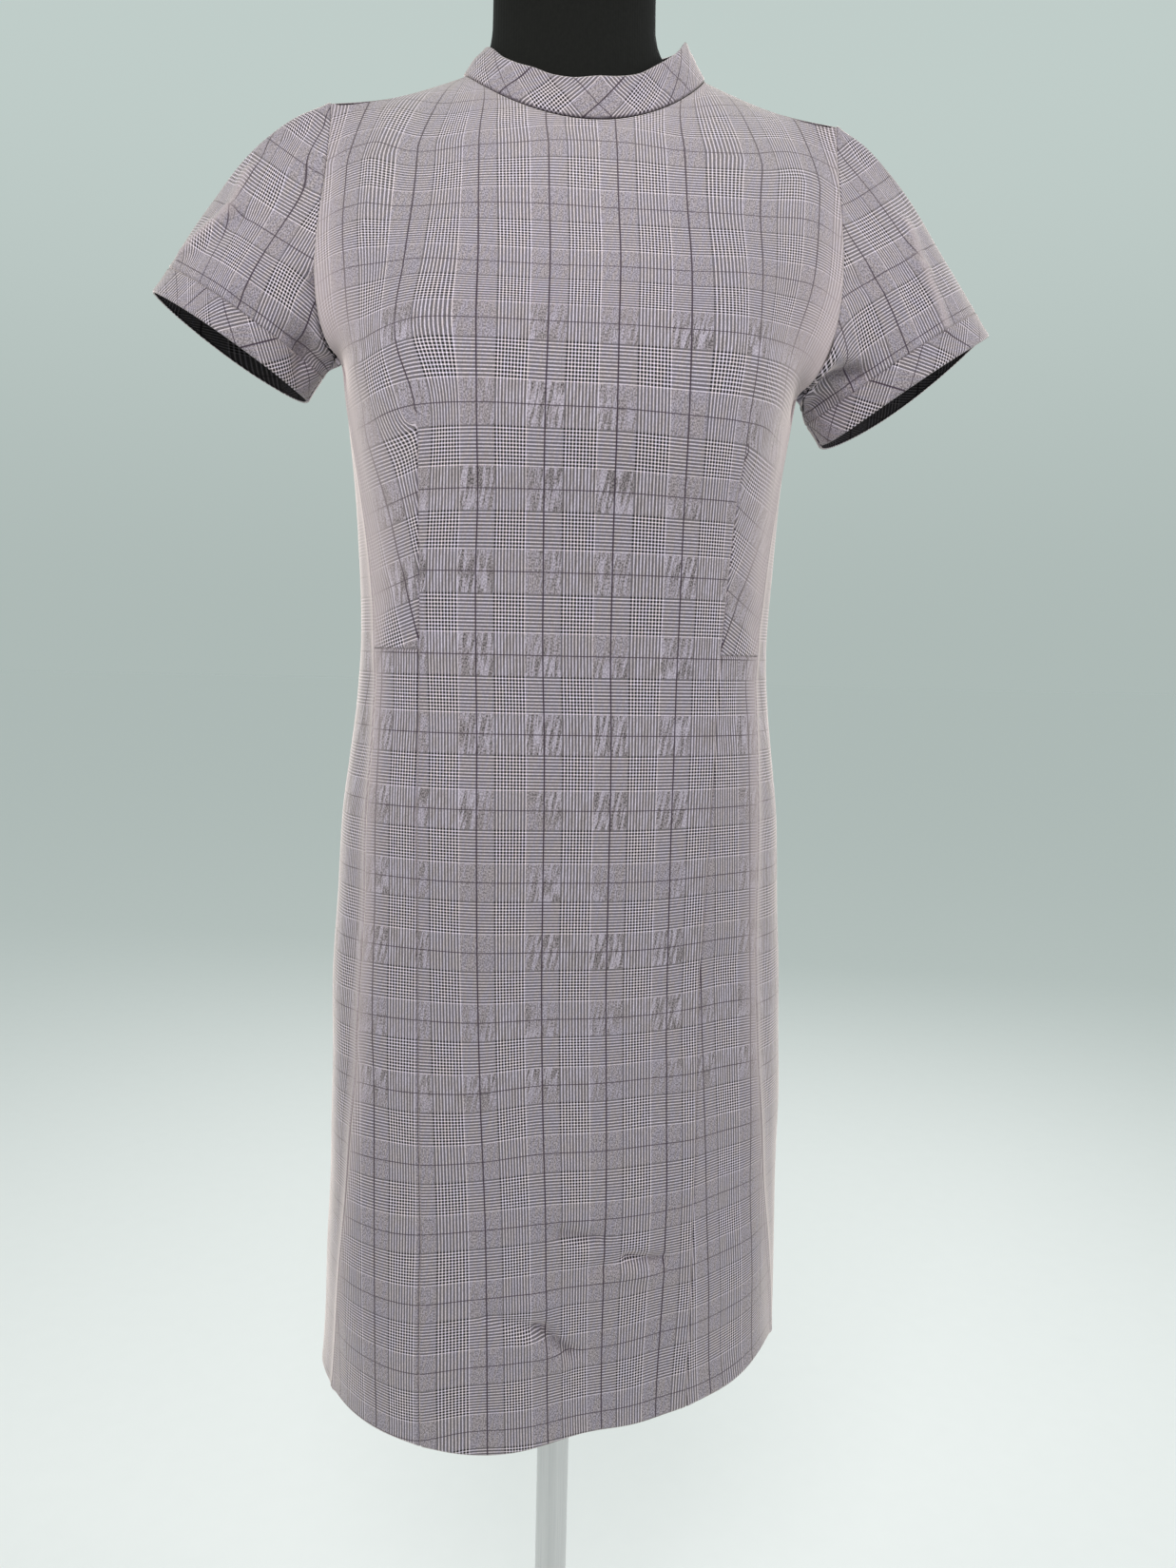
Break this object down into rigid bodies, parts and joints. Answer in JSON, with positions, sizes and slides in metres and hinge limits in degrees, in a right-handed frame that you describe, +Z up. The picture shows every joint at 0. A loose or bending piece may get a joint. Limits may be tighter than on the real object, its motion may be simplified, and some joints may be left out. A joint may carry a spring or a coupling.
{
  "type": "shift dress on a limbless dress form with a stand",
  "caption": "Knee-length shift dress with short sleeves, bust darts, panelled skirt and a low stand collar, worn by a limbless dress form on a round stand.",
  "frame": {"origin": "middle of the stand base's underside, on the floor", "axes": "+Z up; the wearer faces -Y; +X is the wearer's left"},
  "size_m": [0.601, 0.36, 1.5303],
  "materials": {
    "checked_suiting": "fine glen plaid of near-white and near-black threads, pale mauve-grey from a distance, dry and matt",
    "black_jersey": "close black jersey, matt",
    "black_enamel": "black enamel, satin",
    "satin_steel": "satin"
  },
  "bodies": {
    "dress_on_form": {"front": "checked_suiting", "back_left": "checked_suiting", "back_right": "checked_suiting", "skirt_side_left": "checked_suiting", "skirt_side_right": "checked_suiting", "sleeve_left": "checked_suiting", "sleeve_right": "checked_suiting", "sleeve_band_left": "checked_suiting", "sleeve_band_right": "checked_suiting", "collar": "checked_suiting", "torso_form": "black_jersey", "form_neck_cap": "black_enamel", "stand_pole": "satin_steel", "stand_base": "satin_steel", "zip_slider": "satin_steel"},
    "pull_tab": {"zip_pull": "satin_steel"}
  },
  "joints": [
    {"name": "pull_tab_hinge", "type": "hinge", "parent": "dress_on_form", "child": "pull_tab", "pos_m": [0.004, 0.08018, 1.47217], "axis": [1, 0, 0], "range_deg": [0, 150]}
  ]
}
